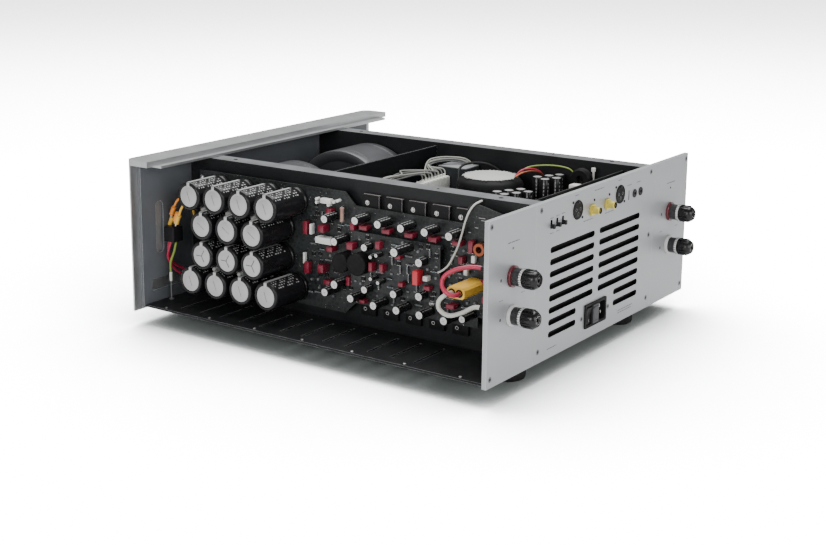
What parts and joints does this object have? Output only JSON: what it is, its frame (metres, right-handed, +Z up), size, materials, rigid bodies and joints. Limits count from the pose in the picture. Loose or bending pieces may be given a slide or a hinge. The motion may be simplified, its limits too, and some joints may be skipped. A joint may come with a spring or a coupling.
{
  "type": "power amplifier",
  "caption": "Open dual-mono stereo power amplifier: silver front and rear panels, black inner walls, storage capacitors, ring transformers, turning speaker terminals.",
  "frame": {"origin": "on the surface the feet stand on, under the middle of the whole box", "axes": "+Z up, -Y towards the front plate, +Y towards the rear panel and its sockets, +X towards the amplifier's open right-hand side as seen from its front"},
  "size_m": [0.472, 0.5184, 0.2013],
  "materials": {
    "silver_panels": "fine bead-blasted, natural silver anodised",
    "button_metal": "turned face, natural silver anodised",
    "grey_subpanel": "satin blue-grey anodised, bare cut edges",
    "black_walls": "matt black anodised faces, machined bare top edges",
    "black_sheet": "matt black powder coat",
    "circuit_boards": "black solder mask, semi-matt",
    "capacitor_sleeves": "black shrink sleeve, light grey vent discs",
    "device_plastic": "moulded black epoxy",
    "transformer_shells": "grey shell with dark potted ends",
    "winding_tape": "wound black tape with a pale centre disc",
    "relay_grey": "moulded grey",
    "white_plastic": "natural white nylon",
    "yellow_plastic": "moulded amber yellow",
    "black_plastic": "moulded black, satin",
    "grey_plastic": "moulded dark grey",
    "gold_plate": "gold plated",
    "nickel_rings": "knurled, nickel plated",
    "red_terminals": "moulded dark red",
    "ivory_terminals": "moulded white",
    "foot_rubber": "matt black",
    "red_cable": "silicone-jacketed, raspberry red",
    "white_cable": "silicone-jacketed, off-white"
  },
  "bodies": {
    "chassis": {"amplifier_board_left": "circuit_boards", "amplifier_board_right": "circuit_boards", "bottom_plate": "black_sheet", "capacitor_bank_left": "capacitor_sleeves", "capacitor_bank_right": "capacitor_sleeves", "driver_board_left": "circuit_boards", "driver_board_right": "circuit_boards", "foot_front_left": "foot_rubber", "foot_front_right": "foot_rubber", "foot_rear_left": "foot_rubber", "foot_rear_right": "foot_rubber", "front_plate": "silver_panels", "front_subpanel": "grey_subpanel", "inner_wall_left": "black_walls", "inner_wall_right": "black_walls", "input_board": "circuit_boards", "mains_transformer_left": "transformer_shells", "mains_transformer_right": "transformer_shells", "mode_switch_housing": "grey_plastic", "output_devices_left": "device_plastic", "output_devices_right": "device_plastic", "partition": "black_sheet", "post_base_left_lower": "ivory_terminals", "post_base_left_upper": "red_terminals", "post_base_right_lower": "ivory_terminals", "post_base_right_upper": "red_terminals", "power_module": "black_plastic", "rca_socket_left": "gold_plate", "rca_socket_right": "gold_plate", "rear_panel_centre": "silver_panels", "rear_panel_left": "silver_panels", "rear_panel_right": "silver_panels", "relay_box": "relay_grey", "speaker_connector": "yellow_plastic", "speaker_lead_red": "red_cable", "speaker_lead_white": "white_cable", "standby_switch": "black_plastic", "standby_transformer": "winding_tape", "supply_board": "circuit_boards", "supply_capacitors": "capacitor_sleeves", "supply_connector": "white_plastic", "transformer_cradle": "black_sheet", "trigger_jacks": "black_plastic", "xlr_socket_left": "black_plastic", "xlr_socket_right": "black_plastic"},
    "clamp_ring_left_upper": {"post_ring_left_upper": "nickel_rings"},
    "post_knob_left_upper": {"post_knob_left_upper": "black_plastic"},
    "clamp_ring_left_lower": {"post_ring_left_lower": "nickel_rings"},
    "post_knob_left_lower": {"post_knob_left_lower": "black_plastic"},
    "clamp_ring_right_upper": {"post_ring_right_upper": "nickel_rings"},
    "post_knob_right_upper": {"post_knob_right_upper": "black_plastic"},
    "clamp_ring_right_lower": {"post_ring_right_lower": "nickel_rings"},
    "post_knob_right_lower": {"post_knob_right_lower": "black_plastic"},
    "mode_lever_1": {"mode_switch_1": "black_plastic"},
    "mode_lever_2": {"mode_switch_2": "black_plastic"},
    "mode_lever_3": {"mode_switch_3": "black_plastic"},
    "drawer": {"fuse_drawer": "grey_plastic"},
    "rocker": {"power_rocker": "black_plastic"},
    "button": {"standby_button": "button_metal"}
  },
  "joints": [
    {"name": "ring_slide_left_upper", "type": "slide", "parent": "chassis", "child": "clamp_ring_left_upper", "axis": [0, 1, 0], "range_m": [0, 0.005]},
    {"name": "knob_turn_left_upper", "type": "hinge", "parent": "clamp_ring_left_upper", "child": "post_knob_left_upper", "pos_m": [-0.1835, 0.25125, 0.129], "axis": [0, 1, 0], "range_deg": [0, 1440]},
    {"name": "ring_slide_left_lower", "type": "slide", "parent": "chassis", "child": "clamp_ring_left_lower", "axis": [0, 1, 0], "range_m": [0, 0.005]},
    {"name": "knob_turn_left_lower", "type": "hinge", "parent": "clamp_ring_left_lower", "child": "post_knob_left_lower", "pos_m": [-0.1835, 0.25125, 0.0885], "axis": [0, 1, 0], "range_deg": [0, 1440]},
    {"name": "ring_slide_right_upper", "type": "slide", "parent": "chassis", "child": "clamp_ring_right_upper", "axis": [0, 1, 0], "range_m": [0, 0.005]},
    {"name": "knob_turn_right_upper", "type": "hinge", "parent": "clamp_ring_right_upper", "child": "post_knob_right_upper", "pos_m": [0.1835, 0.25125, 0.129], "axis": [0, 1, 0], "range_deg": [0, 1440]},
    {"name": "ring_slide_right_lower", "type": "slide", "parent": "chassis", "child": "clamp_ring_right_lower", "axis": [0, 1, 0], "range_m": [0, 0.005]},
    {"name": "knob_turn_right_lower", "type": "hinge", "parent": "clamp_ring_right_lower", "child": "post_knob_right_lower", "pos_m": [0.1835, 0.25125, 0.0885], "axis": [0, 1, 0], "range_deg": [0, 1440]},
    {"name": "mode_slide_1", "type": "slide", "parent": "chassis", "child": "mode_lever_1", "axis": [0, 0, 1], "range_m": [0, 0.004]},
    {"name": "mode_slide_2", "type": "slide", "parent": "chassis", "child": "mode_lever_2", "axis": [0, 0, 1], "range_m": [0, 0.004]},
    {"name": "mode_slide_3", "type": "slide", "parent": "chassis", "child": "mode_lever_3", "axis": [0, 0, 1], "range_m": [0, 0.004]},
    {"name": "fuse_drawer_slide", "type": "slide", "parent": "chassis", "child": "drawer", "axis": [0, 1, 0], "range_m": [0, 0.022]},
    {"name": "power_rocker_tilt", "type": "hinge", "parent": "chassis", "child": "rocker", "pos_m": [0.0183, 0.22705, 0.048], "axis": [1, 0, 0], "range_deg": [0, 14]},
    {"name": "standby_button_press", "type": "slide", "parent": "chassis", "child": "button", "axis": [0, 1, 0], "range_m": [0, 0.0012], "stiffness_N_per_m": 500}
  ],
  "couplings": [
    {"joint": "knob_turn_left_upper", "follows": "ring_slide_left_upper", "rad_per_m": 5026.5},
    {"joint": "knob_turn_left_lower", "follows": "ring_slide_left_lower", "rad_per_m": 5026.5},
    {"joint": "knob_turn_right_upper", "follows": "ring_slide_right_upper", "rad_per_m": 5026.5},
    {"joint": "knob_turn_right_lower", "follows": "ring_slide_right_lower", "rad_per_m": 5026.5}
  ]
}
